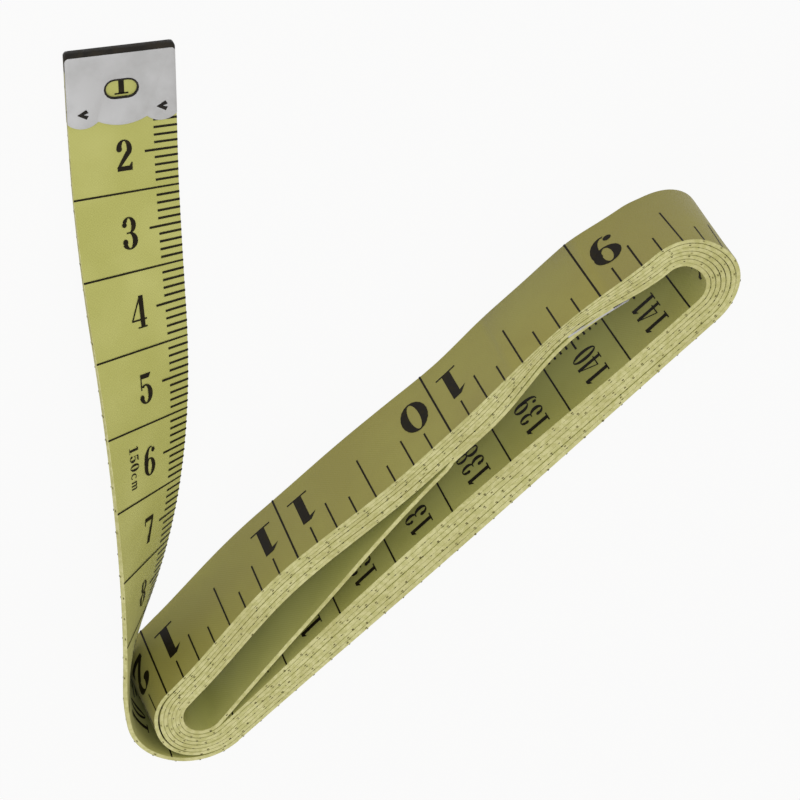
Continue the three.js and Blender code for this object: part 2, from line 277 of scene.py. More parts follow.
def lower_flank(turn, v):
    out, inward = loosened(v)
    return flank(turn, -1, v, out - (out + inward) * turn / TURNS)


def upper_flank(turn, v):
    return flank(turn, 1, v, hump(v, *LEFT_BULGE) + hump(v, *RIGHT_BULGE) + pressed(v) * turn / TURNS)


def whole_turn(turn, fine=60):
    """Plan points of one turn, from the left end round by the lower flank, and the pitch at each."""
    v = np.arange(fine) / fine
    starts = turn + np.concatenate(([0.0], np.cumsum(SHARES)))
    at = [start + share * v for start, share in zip(starts, SHARES)]
    sweep = [np.pi / 2 + end_circles(t)[2] for t in at]
    even = np.full(fine, PITCH)
    return [
        (left_end(at[0], np.pi + v * sweep[0]), even - LEFT_PRESS / TURNS),
        (lower_flank(at[1], v), PITCH + sum(loosened(v)) / TURNS),
        (right_end(at[2], v), PITCH - gathered(v) / TURNS),
        (upper_flank(at[3], 1 - v), PITCH - pressed(1 - v) / TURNS),
        (left_end(at[4], np.pi + (v - 1) * sweep[4]), even - LEFT_PRESS / TURNS),
    ]


def left_sweep(turn, angles):
    """Plan points of an arc at the left end, wound on at the coil's pitch."""
    share = (angles - np.pi) / (np.pi / 2 + end_circles(turn)[2]) * SHARES[0]
    return left_end(turn + share, angles)


def walk(start, length, heading, step=0.25):
    """Plan points of a curve from its headings, start left out."""
    count = math.ceil(length / step)
    run = (np.arange(count) + 0.5) * length / count
    return start + np.cumsum(np.exp(1j * heading(run))) * length / count


def leader_heading(s):
    """Heading of the leader at a distance from where it leaves the coil."""
    neck = NECK_RADIUS * (LEAVE_HEADING - NECK_HEADING)
    eased = np.minimum(NECK_HEADING + (s - neck) / LEADER_EASE_RADIUS, LEADER_HEADING)
    return np.where(s < neck, LEAVE_HEADING - s / NECK_RADIUS, eased)


def tail_plan(start, fine=200):
    """Plan points of the tail: straight, eased, then along the innermost upper flank, start left out."""
    waist = (sum(LEFT_BULGE[1:]) + RIGHT_BULGE[1] - RIGHT_BULGE[2]) / 2
    end = 1 - TAIL_SETBACK / END_SPACING
    v = np.linspace(waist, end, fine)
    inner = upper_flank(TURNS - SHARES[4] - v * SHARES[3], v)
    close = PITCH - pressed(v) / TURNS
    clip_from = end - CLIP_LENGTH / END_SPACING
    hang = FULLNESS * close / 2 + TAIL_CLEARANCE + CLIP_HEIGHT / 2
    along = inner - 1j * (close + (hang - close) * rising(v, waist, clip_from - waist))
    level = np.angle(along[1] - along[0])
    turn = TAIL_HEADING - level
    reach = (along[0] - start) * np.exp(-1j * level)
    straight = (reach.imag - TAIL_EASE_RADIUS * (1 - math.cos(turn))) / math.sin(turn)
    rest = reach.real - straight * math.cos(turn) - TAIL_EASE_RADIUS * math.sin(turn)
    across = walk(
        start,
        straight + TAIL_EASE_RADIUS * turn + rest,
        lambda s: np.maximum(TAIL_HEADING - np.maximum(s - straight, 0) / TAIL_EASE_RADIUS, level),
    )
    return np.concatenate((across, along[1:]))


def plan_of_tape(fine=60):
    """Plan points from the zero end, pitch and distance at each, and where leader and tail hinge."""
    foot_angle = 1.5 * np.pi + end_circles(SHARES[0])[2]
    wrap = left_sweep(0, np.linspace(LEAVE_HEADING + np.pi / 2, foot_angle, 2 * fine))
    leader = np.concatenate((walk(wrap[0], LEADER_LENGTH, leader_heading)[::-1], wrap))
    turns = [part for turn in range(TURNS) for part in whole_turn(turn)][1:]
    loop = left_sweep(TURNS, np.linspace(np.pi, 1.5 * np.pi + TAIL_HEADING, fine))
    coil = np.concatenate([points for points, _ in turns] + [loop])
    tail = tail_plan(loop[-1])
    foot = len(leader) - 1
    plan = np.concatenate((leader[:-1], coil, tail))
    run = np.concatenate(([0.0], np.cumsum(np.abs(np.diff(plan)))))
    wound = np.concatenate([pitch for _, pitch in turns])
    pitch = np.full(len(plan), PITCH)
    pitch[foot : foot + len(wound)] = wound
    return plan, pitch, run, run[foot], run[foot + len(coil) - 1]


PLAN, SPACING, RUN, SWING_AT, TAIL_AT = plan_of_tape()
TAPE_LENGTH = RUN[-1]
TURNING = np.unwrap(np.angle(np.gradient(PLAN, RUN)))


def plan_at(s):
    return np.interp(s, RUN, PLAN.real) + 1j * np.interp(s, RUN, PLAN.imag)


# The solids' hinge at the foot of the coil says where the course lies in the frame
SWING = next(j for j in frame["record"]["behaviour"]["joints"] if j["name"] == "leader_swing")
PLACE = complex(*SWING["pos_m"][:2]) / MM - plan_at(SWING_AT + SOLID_THICKNESS / 2)


def end_lean(at):
    """How far the turns lean inwards at the coil's two ends, in radians."""
    right = rising(at.real, *RIGHT_LEAN_ALONG) * rising(at.imag, *RIGHT_LEAN_ACROSS)
    left = rising(-at.real, *LEFT_LEAN_ALONG) * rising(at.imag, *LEFT_LEAN_ACROSS)
    return RIGHT_LEAN * right + LEFT_LEAN * left


def foot_in(at):
    """How far the foot of the turns is drawn in at the upper right corner and along the upper flank."""
    end_angle = np.arctan2(np.maximum(at.imag, 0), np.maximum(at.real - END_SPACING / 2, 0))
    corner = CORNER_IN * rising(at.real, *CORNER_ALONG) * smooth(end_angle / CORNER_ANGLE)
    waist = (hump(at.real, *WAIST_OUT) - hump(at.real, *FLANK_IN)) * smooth(at.imag / UPPER_SIDE)
    return corner - waist


def foot_lift(s, wound):
    """Height of the tape's foot: on its clip, arched along the leader, uneven where it is wound."""
    clipped = CLIP_REST * (1 - rising(s, CLIP_LENGTH, CLIP_LENGTH))
    half = (SWING_AT - CLIP_LENGTH) / 2
    arched = hump(s, LEADER_LIFT, CLIP_LENGTH + half, half)
    first, second = RISE_WAVES
    return clipped + arched + wound * RISE * (0.5 + 0.5 * np.sin(s / first) * np.cos(s / second))


def course(s):
    """Foot of the tape, and its directions along, across and out of the printed inch face."""
    s = np.asarray(s, float)
    heading = np.interp(s, RUN, TURNING)
    along = np.stack((np.cos(heading), np.sin(heading), 0 * s), -1)
    outward = np.cross(along, UP)
    turned = 1 - np.clip((s - FLAT_LENGTH) / TWIST_LENGTH, 0, None) ** TWIST_POWER
    twist = np.pi / 4 * np.minimum(turned + np.hypot(turned, TWIST_SOFT), 2)
    at = plan_at(s)
    drawn_in = np.where(s > SWING_AT, foot_in(at), 0)
    lean = twist + drawn_in / TAPE_WIDTH - np.where(s > SWING_AT, end_lean(at), 0)
    lean = lean[..., None]
    across = UP * np.cos(lean) + outward * np.sin(lean)
    face = outward * np.cos(lean) - UP * np.sin(lean)
    wound = rising(s, SWING_AT, WOUND_EASE) * smooth((TAIL_AT - s) / WOUND_EASE)
    height = foot_lift(s, wound) + SOLID_THICKNESS / 2 * np.sin(lean[..., 0])
    at = at + PLACE
    first, second = WANDER_WAVES
    uneven = wound * WANDER * (np.sin(s / first) + np.sin(s / second + WANDER_SHIFT))
    foot = np.stack((at.real, at.imag, height), -1) + outward * (uneven - drawn_in)[..., None]
    return foot, along, across, face


def lay(flat):
    """Flat places on the tape to places in the frame, in metres."""
    flat = np.asarray(flat, float)
    foot, _, across, face = course(flat[:, 0])
    half = FULLNESS / 2 * np.interp(flat[:, 0], RUN, SPACING)
    return (foot + across * flat[:, 1:2] + face * (flat[:, 2] * half)[:, None]) * MM


def point_at(s):
    return tuple(lay([(s, TAPE_WIDTH / 2, 0)])[0])


class Shade:
    """A shader socket: + and * make maths nodes, and other nodes come from the finish's node()."""

    def __init__(self, finish, socket):
        self.finish, self.socket = finish, socket

    def maths(self, operation, *others):
        return self.finish.node("Math", None, self, *others, operation=operation)

    def __add__(self, other):
        return self.maths("ADD", other)

    def __mul__(self, other):
        return self.maths("MULTIPLY", other)

    __radd__, __rmul__ = __add__, __mul__

    def ramp(self, low, high, to_low=0.0, to_high=1.0):
        limits = (low, high, to_low, to_high)
        return self.finish.node("MapRange", None, self, *limits, interpolation_type="SMOOTHSTEP")


# Places of the Mix node's share, its two colours and its colour result among its sockets
MIX_SHARE, MIX_FIRST, MIX_SECOND, MIX_RESULT = 0, 6, 7, 2


class Finish:
    """A material with one Principled shader, whose sockets are set by name."""

    def __init__(self, name, **sockets):
        self.material = bpy.data.materials.new(name)
        self.material.use_nodes = True
        self.tree = self.material.node_tree
        self.shader = self.tree.nodes["Principled BSDF"]
        self.set(**sockets)

    def set(self, **sockets):
        for name, value in sockets.items():
            self.plug(self.shader.inputs[name.replace("_", " ")], value)

    def plug(self, socket, value):
        if isinstance(value, Shade):
            self.tree.links.new(value.socket, socket)
        elif socket.type == "RGBA":
            socket.default_value = (*value, 1.0)
        else:
            socket.default_value = value

    def node(self, kind, output, *inputs, named=None, **settings):
        """One output of a new node: its settings are made first, then its sockets in order or by name."""
        node = self.tree.nodes.new("ShaderNode" + kind)
        for name, value in settings.items():
            setattr(node, name, value)
        for socket, value in zip(node.inputs, inputs):
            if value is not None:
                self.plug(socket, value)
        for name, value in (named or {}).items():
            self.plug(node.inputs[name], value)
        return Shade(self, node.outputs[output or 0])

    def mix(self, share, first, second):
        """Colour from first to second by a share, through the Mix node's colour sockets."""
        sockets = {MIX_SHARE: share, MIX_FIRST: first, MIX_SECOND: second}
        return self.node("Mix", MIX_RESULT, named=sockets, data_type="RGBA")

    def noise(self, place, scale, detail=3.0):
        return self.node("TexNoise", "Fac", named={"Vector": place, "Scale": scale, "Detail": detail})

    def bump(self, height, strength, distance):
        return self.node("Bump", None, named={"Strength": strength, "Distance": distance, "Height": height})


def srgb(red, green, blue):
    """Photograph's colour, 0 to 255, as the shader's linear one."""
    parts = (red / 255, green / 255, blue / 255)
    return tuple(c / 12.92 if c <= 0.04045 else ((c + 0.055) / 1.055) ** 2.4 for c in parts)


def coated_cloth(name, pale, deep):
    """Yellow-green coated cloth: a fine plain weave, uneven dye and handling marks."""
    finish = Finish(name, Specular_IOR_Level=0.35, Sheen_Weight=0.08, Sheen_Roughness=0.5)
    tape = finish.node("UVMap", "UV", uv_map="tape")
    threads = 2 * math.pi * MAP_UNIT / THREAD_SPACING
    weft = (finish.node("SeparateXYZ", "X", tape) * threads).maths("SINE")
    warp = (finish.node("SeparateXYZ", "Y", tape) * threads).maths("SINE")
    weave = weft * warp
    place = finish.node("TexCoord", "Object")
    dye = finish.noise(place, scale=90.0).ramp(0.35, 0.7)
    grime = finish.noise(place, scale=34.0, detail=5.0).ramp(0.52, 0.78)
    grain = finish.noise(place, scale=900.0)
    cloudy = finish.mix(dye, deep, pale)
    handled = finish.mix(grime * 0.35, cloudy, srgb(152, 139, 78))
    finish.set(
        Base_Color=finish.mix((weave * 0.5 + 0.5) * 0.1, handled, srgb(138, 131, 64)),
        Roughness=dye.ramp(0.0, 1.0, to_low=0.5, to_high=0.62),
        Normal=finish.bump(weave + grain * 1.5, strength=0.12, distance=0.00005),
    )
    return finish.material


def cut_edge():
    """Pale selvedge of the tape, mottled by threads and worn in places."""
    finish = Finish("cut_edge", Specular_IOR_Level=0.25)
    place = finish.node("TexCoord", "Object")
    threads = finish.noise(place, scale=1400.0, detail=2.0).ramp(0.35, 0.65)
    worn = finish.noise(place, scale=160.0, detail=4.0).ramp(0.4, 0.7)
    pale = finish.mix(threads, srgb(186, 185, 128), srgb(204, 202, 152))
    finish.set(
        Base_Color=finish.mix(worn * 0.4, pale, srgb(166, 161, 104)),
        Roughness=worn.ramp(0.0, 1.0, to_low=0.7, to_high=0.85),
        Normal=finish.bump(threads, strength=0.25, distance=0.00006),
    )
    return finish.material


def scale_ink():
    """Dark brown printing ink, thin in places."""
    finish = Finish("scale_ink", Specular_IOR_Level=0.1)
    place = finish.node("TexCoord", "Object")
    thin = finish.noise(place, scale=1100.0).ramp(0.5, 0.8)
    finish.set(
        Base_Color=finish.mix(thin * 0.35, srgb(26, 21, 10), srgb(66, 58, 28)),
        Roughness=thin.ramp(0.0, 1.0, to_low=0.45, to_high=0.6),
    )
    return finish.material


def faded_ink():
    """Ink run thinly over the tape's edge."""
    finish = Finish("faded_ink", Specular_IOR_Level=0.25, Roughness=0.8)
    place = finish.node("TexCoord", "Object")
    thin = finish.noise(place, scale=1300.0, detail=2.0).ramp(0.35, 0.7)
    finish.set(Base_Color=finish.mix(thin, srgb(96, 90, 52), srgb(146, 141, 92)))
    return finish.material


def clip_steel():
    """Bright rolled sheet, rubbed dull and faintly scratched."""
    finish = Finish("clip_steel", Metallic=0.35)
    place = finish.node("TexCoord", "Object")
    drawn_out = {"Rotation": (0, 0, LEADER_HEADING), "Scale": (1, 30, 1)}
    rolled = finish.node("Mapping", None, place, named=drawn_out)
    grain = finish.noise(rolled, scale=500.0, detail=4.0)
    rubbed = finish.noise(place, scale=220.0, detail=5.0).ramp(0.4, 0.7)
    finish.set(
        Base_Color=finish.mix(rubbed * 0.5, srgb(180, 180, 184), srgb(156, 156, 158)),
        Roughness=grain * 0.18 + rubbed * 0.12 + 0.34,
        Normal=finish.bump(grain + rubbed, strength=0.1, distance=0.00005),
    )
    return finish.material


def dark_fold():
    """Near-black metal of the fold, the ring round the window and the prongs: painted shade, with a painted
    dark reflection on the fold, mottled at random.
    """
    finish = Finish("dark_fold", Metallic=0.2, Specular_IOR_Level=0.2)
    place = finish.node("TexCoord", "Object")
    shade_mottle = finish.noise(place, scale=700.0, detail=4.0).ramp(0.4, 0.75)
    finish.set(
        Base_Color=finish.mix(shade_mottle, srgb(22, 19, 15), srgb(46, 41, 33)),
        Roughness=shade_mottle.ramp(0.0, 1.0, to_low=0.5, to_high=0.7),
    )
    return finish.material


CLOTH = coated_cloth("centimetre_face", srgb(186, 187, 114), srgb(174, 175, 98))
BACK = coated_cloth("inch_face", srgb(166, 162, 91), srgb(156, 150, 80))
EDGE, INK, FADED = cut_edge(), scale_ink(), faded_ink()
# The clips' second metal is near-black painted shade, with a painted dark reflection on the fold
STEEL, SHADE_PAINTED_METAL = clip_steel(), dark_fold()


def new_piece(name, places, faces, materials, slots=None):
    """Mesh object in the frame from places in metres."""
    mesh = bpy.data.meshes.new(name)
    mesh.from_pydata([tuple(p) for p in places], [], faces)
    for material in materials:
        mesh.materials.append(material)
    if slots is not None:
        mesh.polygons.foreach_set("material_index", slots)
    mesh.update()
    piece = bpy.data.objects.new(name, mesh)
    bpy.context.scene.collection.objects.link(piece)
    return piece


def plain_mesh(holder):
    """Mesh of an object as its modifiers or its curve make it, with the object removed."""
    bpy.context.scene.collection.objects.link(holder)
    mesh = bpy.data.meshes.new_from_object(holder.evaluated_get(bpy.context.evaluated_depsgraph_get()))
    bpy.data.objects.remove(holder)
    return mesh


def stations():
    """Distances along the tape where its mesh has a section, close together where it bends."""
    bend = np.abs(np.gradient(TURNING, RUN))
    out = [TAPE_END_GAP]
    while out[-1] < TAPE_LENGTH - TAPE_END_GAP:
        tight = np.interp(out[-1], RUN, bend)
        out.append(out[-1] + float(np.clip(ROW_TURN / max(tight, LEAST_BEND), *ROW_STEPS)))
    return np.array(out[:-1])


STATIONS = stations()


# Material slots of the cloth's sides, in the order of its section's corners
CM_SIDE, EDGE_SIDE, INCH_SIDE = range(3)
SECTION_SIDES = 3 * (EDGE_SIDE,) + (INCH_SIDE,) + 3 * (EDGE_SIDE,) + (CM_SIDE,)


def cloth_strip(name, start, end):
    """Closed strip of cloth between two distances, with softened edges and a map of distance and width."""
    inside = STATIONS[(STATIONS > start + ROW_CLEARANCE) & (STATIONS < end - ROW_CLEARANCE)]
    rows = np.concatenate(([start], inside, [end]))
    soft, round_off = CLOTH_EDGE, 1 - 2 * CLOTH_EDGE / (FULLNESS * PITCH)
    section = [
        (soft, -1),
        (0, -round_off),
        (0, round_off),
        (soft, 1),
        (TAPE_WIDTH - soft, 1),
        (TAPE_WIDTH, round_off),
        (TAPE_WIDTH, -round_off),
        (TAPE_WIDTH - soft, -1),
    ]
    count = len(section)
    corners = [(v, n * FULLNESS * PITCH / 2) for v, n in section + section[:1]]
    sides = [math.dist(a, b) for a, b in zip(corners, corners[1:])]
    girth = np.concatenate(([0.0], np.cumsum(sides)))
    faces, slots, maps = [], [], []
    for i in range(len(rows) - 1):
        for j in range(count):
            a, b = i * count + j, i * count + (j + 1) % count
            faces.append((a, a + count, b + count, b))
            slots.append(SECTION_SIDES[j])
            maps += [(rows[i], girth[j]), (rows[i + 1], girth[j])]
            maps += [(rows[i + 1], girth[j + 1]), (rows[i], girth[j + 1])]
    last = (len(rows) - 1) * count
    faces.append(tuple(range(count)))
    faces.append(tuple(last + j for j in reversed(range(count))))
    slots += [EDGE_SIDE, EDGE_SIDE]
    maps += [(start, girth[j]) for j in range(count)]
    maps += [(end, girth[j]) for j in reversed(range(count))]
    flat = [(s, v, n) for s in rows for v, n in section]
    piece = new_piece(name, lay(flat), faces, (CLOTH, EDGE, BACK), slots)
    layer = piece.data.uv_layers.new(name="tape")
    layer.data.foreach_set("uv", (np.array(maps) / MAP_UNIT).astype(np.float32).ravel())
    piece.data.shade_smooth()
    piece.data.set_sharp_from_angle(angle=CLOTH_SHARP)
    return piece


# Sizes of a row of marks, in the order of its tree's inputs
MARK_SIZES = (
    "First",
    "Spacing",
    "Line",
    "Root",
    "Away",
    "Level",
    "Short",
    "Second",
    "Second Length",
    "Third",
    "Third Length",
    "Whole",
    "Whole Length",
    "Whole Line",
)


def marks_tree():
    """Geometry nodes for a row of printed lines, longer at the second, third and whole divisions."""
    tree = bpy.data.node_groups.new("scale_marks", "GeometryNodeTree")
    face = tree.interface
    face.new_socket("Count", in_out="INPUT", socket_type="NodeSocketInt")
    for name in MARK_SIZES:
        face.new_socket(name, in_out="INPUT", socket_type="NodeSocketFloat")
    face.new_socket("Ink", in_out="INPUT", socket_type="NodeSocketMaterial")
    face.new_socket("Marks", in_out="OUTPUT", socket_type="NodeSocketGeometry")
    given = tree.nodes.new("NodeGroupInput").outputs

    def add(kind, inputs, **settings):
        node = tree.nodes.new(kind)
        for name, value in settings.items():
            setattr(node, name, value)
        for name, value in inputs.items():
            if isinstance(value, bpy.types.NodeSocket):
                tree.links.new(value, node.inputs[name])
            else:
                node.inputs[name].default_value = value
        return node.outputs[0]

    def maths(operation, a, b):
        return add("ShaderNodeMath", {0: a, 1: b}, operation=operation)

    def where_whole(every, length, otherwise):
        rest = maths("MODULO", add("GeometryNodeInputIndex", {}), every)
        hit = add("FunctionNodeCompare", {"A": rest, "B": 0.5}, operation="LESS_THAN")
        choice = {"Switch": hit, "False": otherwise, "True": length}
        return add("GeometryNodeSwitch", choice, input_type="FLOAT")

    length = where_whole(given["Second"], given["Second Length"], given["Short"])
    length = where_whole(given["Third"], given["Third Length"], length)
    length = where_whole(given["Whole"], given["Whole Length"], length)
    weight = where_whole(given["Whole"], given["Whole Line"], given["Line"])
    start = add("ShaderNodeCombineXYZ", {"X": given["First"]})
    step = add("ShaderNodeCombineXYZ", {"X": given["Spacing"]})
    row = add("GeometryNodeMeshLine", {"Count": given["Count"], "Start Location": start, "Offset": step})
    half = maths("MULTIPLY", length, 0.5)
    middle = maths("ADD", given["Root"], maths("MULTIPLY", given["Away"], half))
    shift = add("ShaderNodeCombineXYZ", {"Y": middle, "Z": given["Level"]})
    row = add("GeometryNodeSetPosition", {"Geometry": row, "Offset": shift})
    line = add("GeometryNodeMeshGrid", {"Size X": 1.0, "Size Y": 1.0, "Vertices X": 2, "Vertices Y": 2})
    size = add("ShaderNodeCombineXYZ", {"X": weight, "Y": length, "Z": 1.0})
    lines = add("GeometryNodeInstanceOnPoints", {"Points": row, "Instance": line, "Scale": size})
    lines = add("GeometryNodeRealizeInstances", {"Geometry": lines})
    lines = add("GeometryNodeSetMaterial", {"Geometry": lines, "Material": given["Ink"]})
    tree.links.new(lines, tree.nodes.new("NodeGroupOutput").inputs[0])
    return tree


MARKS = marks_tree()


def printed_row(**sizes):
    """Flat polygons of one row of marks from the geometry nodes."""
    holder = bpy.data.objects.new("marks", bpy.data.meshes.new("marks"))
    modifier = holder.modifiers.new("marks", "NODES")
    modifier.node_group = MARKS
    names = {item.name: item.identifier for item in MARKS.interface.items_tree if item.in_out == "INPUT"}
    modifier[names["Ink"]] = INK
    for name, value in sizes.items():
        modifier[names[name.replace("_", " ")]] = value
    mesh = plain_mesh(holder)
    polygons = [[tuple(mesh.vertices[v].co) for v in p.vertices] for p in mesh.polygons]
    bpy.data.meshes.remove(mesh)
    return polygons


# Figures in a bold modern face, one high and FIGURE_BOX wide: thick stems, hairlines and round ends
FIGURE_BOX = 0.6
STEM = 0.18
WIDE_STEM = 0.19
HAIR = 0.045
THIN_HAIR = 0.04
RING_STEP = 18
RING_LEAST = 5
BALL_CORNERS = 12


def ring(x, y, wide, high, stem, hair, start=0, end=360):
    steps = max(RING_LEAST, round(abs(end - start) / RING_STEP))
    turns = np.radians(np.linspace(start, end, steps + 1))
    outer = [(x + wide * math.cos(t), y + high * math.sin(t)) for t in turns]
    inner = [(x + (wide - stem) * math.cos(t), y + (high - hair) * math.sin(t)) for t in turns]
    return [(outer[i], outer[i + 1], inner[i + 1], inner[i]) for i in range(steps)]


def ball(x, y, size):
    turns = np.linspace(0, 2 * math.pi, BALL_CORNERS + 1)[:-1]
    return [tuple((x + size * math.cos(t), y + size * math.sin(t)) for t in turns)]


def bar(left, low, right, high):
    return [((left, low), (right, low), (right, high), (left, high))]


def stroke(*corners):
    return [corners]


SIX = (
    ring(0.31, 0.31, 0.28, 0.31, STEM, HAIR)
    + ring(0.36, 0.5, 0.33, 0.5, WIDE_STEM, HAIR, 78, 200)
    + ball(0.47, 0.86, 0.085)
)
GLYPHS = {
    "0": ring(0.3, 0.5, 0.29, 0.5, STEM, HAIR),
    "1": bar(0.21, 0.03, 0.4, 0.98)
    + bar(0.07, 0, 0.54, 0.05)
    + stroke((0.06, 0.8), (0.21, 0.84), (0.21, 0.98)),
    "2": ring(0.3, 0.7, 0.27, 0.3, STEM, HAIR, -28, 170)
    + ball(0.13, 0.71, 0.1)
    + stroke((0.36, 0.62), (0.04, 0.12), (0.14, 0.1), (0.54, 0.56))
    + stroke((0.04, 0), (0.56, 0), (0.57, 0.25), (0.53, 0.25), (0.46, 0.15), (0.04, 0.15)),
    "3": ring(0.28, 0.745, 0.25, 0.255, 0.17, THIN_HAIR, -85, 155)
    + ring(0.27, 0.27, 0.29, 0.27, WIDE_STEM, HAIR, -155, 85)
    + bar(0.18, 0.49, 0.31, 0.535)
    + ball(0.12, 0.77, 0.085)
    + ball(0.11, 0.24, 0.095),
    "4": bar(0.35, 0.03, 0.52, 1)
    + bar(0.24, 0, 0.6, 0.045)
    + bar(0.02, 0.24, 0.6, 0.29)
    + stroke((0.02, 0.29), (0.08, 0.29), (0.4, 0.92), (0.38, 1)),
    "5": ring(0.28, 0.32, 0.29, 0.32, WIDE_STEM, HAIR, -155, 130)
    + ball(0.11, 0.22, 0.095)
    + bar(0.09, 0.46, 0.135, 0.98)
    + stroke((0.09, 0.98), (0.11, 0.83), (0.44, 0.83), (0.53, 0.98)),
    "6": SIX,
    "7": bar(0.04, 0.83, 0.56, 0.98)
    + bar(0.04, 0.7, 0.085, 0.98)
    + stroke((0.2, 0), (0.4, 0), (0.56, 0.83), (0.47, 0.86)),
    "8": ring(0.3, 0.755, 0.24, 0.245, 0.15, THIN_HAIR) + ring(0.3, 0.275, 0.29, 0.275, STEM, HAIR),
    "9": [tuple((FIGURE_BOX - x, 1 - y) for x, y in polygon) for polygon in SIX],
    "c": ring(0.3, 0.32, 0.26, 0.32, 0.13, 0.06, 40, 320),
    "m": bar(0.02, 0, 0.13, 0.64)
    + bar(0.27, 0, 0.38, 0.5)
    + bar(0.52, 0, 0.63, 0.5)
    + ring(0.25, 0.5, 0.13, 0.14, 0.11, 0.06, 0, 160)
    + ring(0.5, 0.5, 0.13, 0.14, 0.11, 0.06, 0, 160),
}


def figures(text, size, gap=0.0):
    """Polygons of a number, centred on its box's middle across, standing on y = 0, in millimetres."""
    wide, high = size
    total = len(text) * wide + (len(text) - 1) * gap
    out = []
    for place, letter in enumerate(text):
        left = place * (wide + gap) - total / 2
        for polygon in GLYPHS[letter]:
            out.append([(left + x / FIGURE_BOX * wide, y * high) for x, y in polygon])
    return out


def ruled_marks():
    """Flat polygons of the ruled marks on both faces, and of the inch marks run over the top edge."""
    ticks = printed_row(
        Count=MM_IN_CM * CENTIMETRES + 1,
        First=ZERO_AT,
        Spacing=1.0,
        Line=MM_TICK,
        Root=0.0,
        Away=1.0,
        Level=-INK_LEVEL,
        Short=MM_TICK_LENGTH,
        Second=MM_IN_CM / 2,
        Second_Length=FIVE_MM_LENGTH,
        Third=MM_IN_CM / 2,
        Third_Length=FIVE_MM_LENGTH,
        Whole=float(MM_IN_CM),
        Whole_Length=TAPE_WIDTH,
        Whole_Line=CM_LINE,
    )
    inches = dict(
        Count=EIGHTHS * INCHES + 1,
        First=INCH_ZERO_AT,
        Spacing=INCH / EIGHTHS,
        Second=EIGHTHS / 4,
        Third=EIGHTHS / 2,
        Whole=float(EIGHTHS),
        Away=-1.0,
    )
    lines = printed_row(
        **inches,
        Line=INCH_TICK,
        Root=TAPE_WIDTH,
        Level=INK_LEVEL,
        Short=EIGHTH_LENGTH,
        Second_Length=QUARTER_LENGTH,
        Third_Length=HALF_LENGTH,
        Whole_Length=TAPE_WIDTH,
        Whole_Line=INCH_LINE,
    )
    dots = printed_row(
        **inches,
        Line=EDGE_DOT,
        Root=EDGE_DOT_FROM,
        Level=TAPE_WIDTH + EDGE_DOT_LEVEL,
        Short=EDGE_DOT_DEPTH,
        Second_Length=EDGE_DOT_DEPTH,
        Third_Length=EDGE_DOT_DEPTH,
        Whole_Length=EDGE_DOT_DEPTH,
        Whole_Line=EDGE_DOT,
    )
    chance = np.random.default_rng(EDGE_DOT_SEED).random((len(dots), 2))
    over_edge = [
        [(s, level, n - shift) for s, n, level in polygon]
        for polygon, (keep, shift) in zip(dots, chance)
        if keep < EDGE_DOTS_KEPT
    ]
    return [p[::-1] for p in ticks] + lines, [p[::-1] for p in over_edge]


def numbers():
    """Flat polygons of the printed numbers: centimetres written across the tape, inches along it."""
    out = []
    for n in range(1, CENTIMETRES + 1):
        size = CM_FIGURE if n < 100 else HUNDREDS_FIGURE
        foot = ZERO_AT + MM_IN_CM * n - CM_FIGURE_RISE
        middle = TAPE_WIDTH / 2 + CM_FIGURE_SHIFT * (len(str(n)) - 1)
        for polygon in figures(str(n), size, CM_FIGURE_GAP):
            out.append([(foot - y, middle - x, -INK_LEVEL) for x, y in polygon])
    middle = ZERO_AT + LENGTH_MARK_AT
    for polygon in figures(f"{CENTIMETRES}cm", LENGTH_MARK, LENGTH_MARK_GAP):
        out.append([(middle + x, LENGTH_MARK_HEIGHT - y, -INK_LEVEL) for x, y in polygon])
    low = INCH_FIGURE_MIDDLE - INCH_FIGURE[1] / 2
    for n in range(1, INCHES + 1):
        line = INCH_ZERO_AT + INCH * n
        reach = (-INCH_SINGLE_REACH,) if n < 10 else (-INCH_FIGURE_REACH, INCH_FIGURE_REACH)
        for letter, away in zip(str(n), reach):
            for polygon in figures(letter, INCH_FIGURE):
                out.append([(line + away + x, low + y, INK_LEVEL) for x, y in polygon])
    return out


def beyond(polygon, limit, side):
    """The part of a flat polygon that lies past a limit along the tape, on one side of it."""
    out = []
    for before, after in zip(polygon[-1:] + polygon[:-1], polygon):
        first, second = side * (before[0] - limit), side * (after[0] - limit)
        if first * second < 0:
            share = first / (first - second)
            out.append(tuple(a + (b - a) * share for a, b in zip(before, after)))
        if second >= 0:
            out.append(after)
    return out


def strips(polygon):
    """A flat polygon cut into lengths along the tape, short enough to bend with the cloth."""
    reach = [corner[0] for corner in polygon]
    count = max(1, math.ceil((max(reach) - min(reach)) / INK_STEP))
    cuts = np.linspace(min(reach), max(reach), count + 1)
    parts = [polygon]
    for cut in cuts[1:-1]:
        last = parts.pop()
        parts += [beyond(last, cut, -1), beyond(last, cut, 1)]
    return [part for part in parts if len(part) > 2]


RULED, OVER_EDGE = ruled_marks()
PRINT = RULED + [strip for figure in numbers() for strip in strips(figure)] + OVER_EDGE
FIRST_FADED = len(PRINT) - len(OVER_EDGE)
PRINT_AT = np.array([np.mean([corner[0] for corner in polygon]) for polygon in PRINT])


def printed_marks(name, start, end):
    """Ink on one stretch of the tape."""
    chosen = np.flatnonzero((PRINT_AT >= start) & (PRINT_AT < end))
    if not len(chosen):
        return None
    faces, count = [], 0
    for polygon in (PRINT[i] for i in chosen):
        faces.append(tuple(range(count, count + len(polygon))))
        count += len(polygon)
    places = lay([corner for i in chosen for corner in PRINT[i]])
    return new_piece(name, places, faces, (INK, FADED), (chosen >= FIRST_FADED).astype(int))


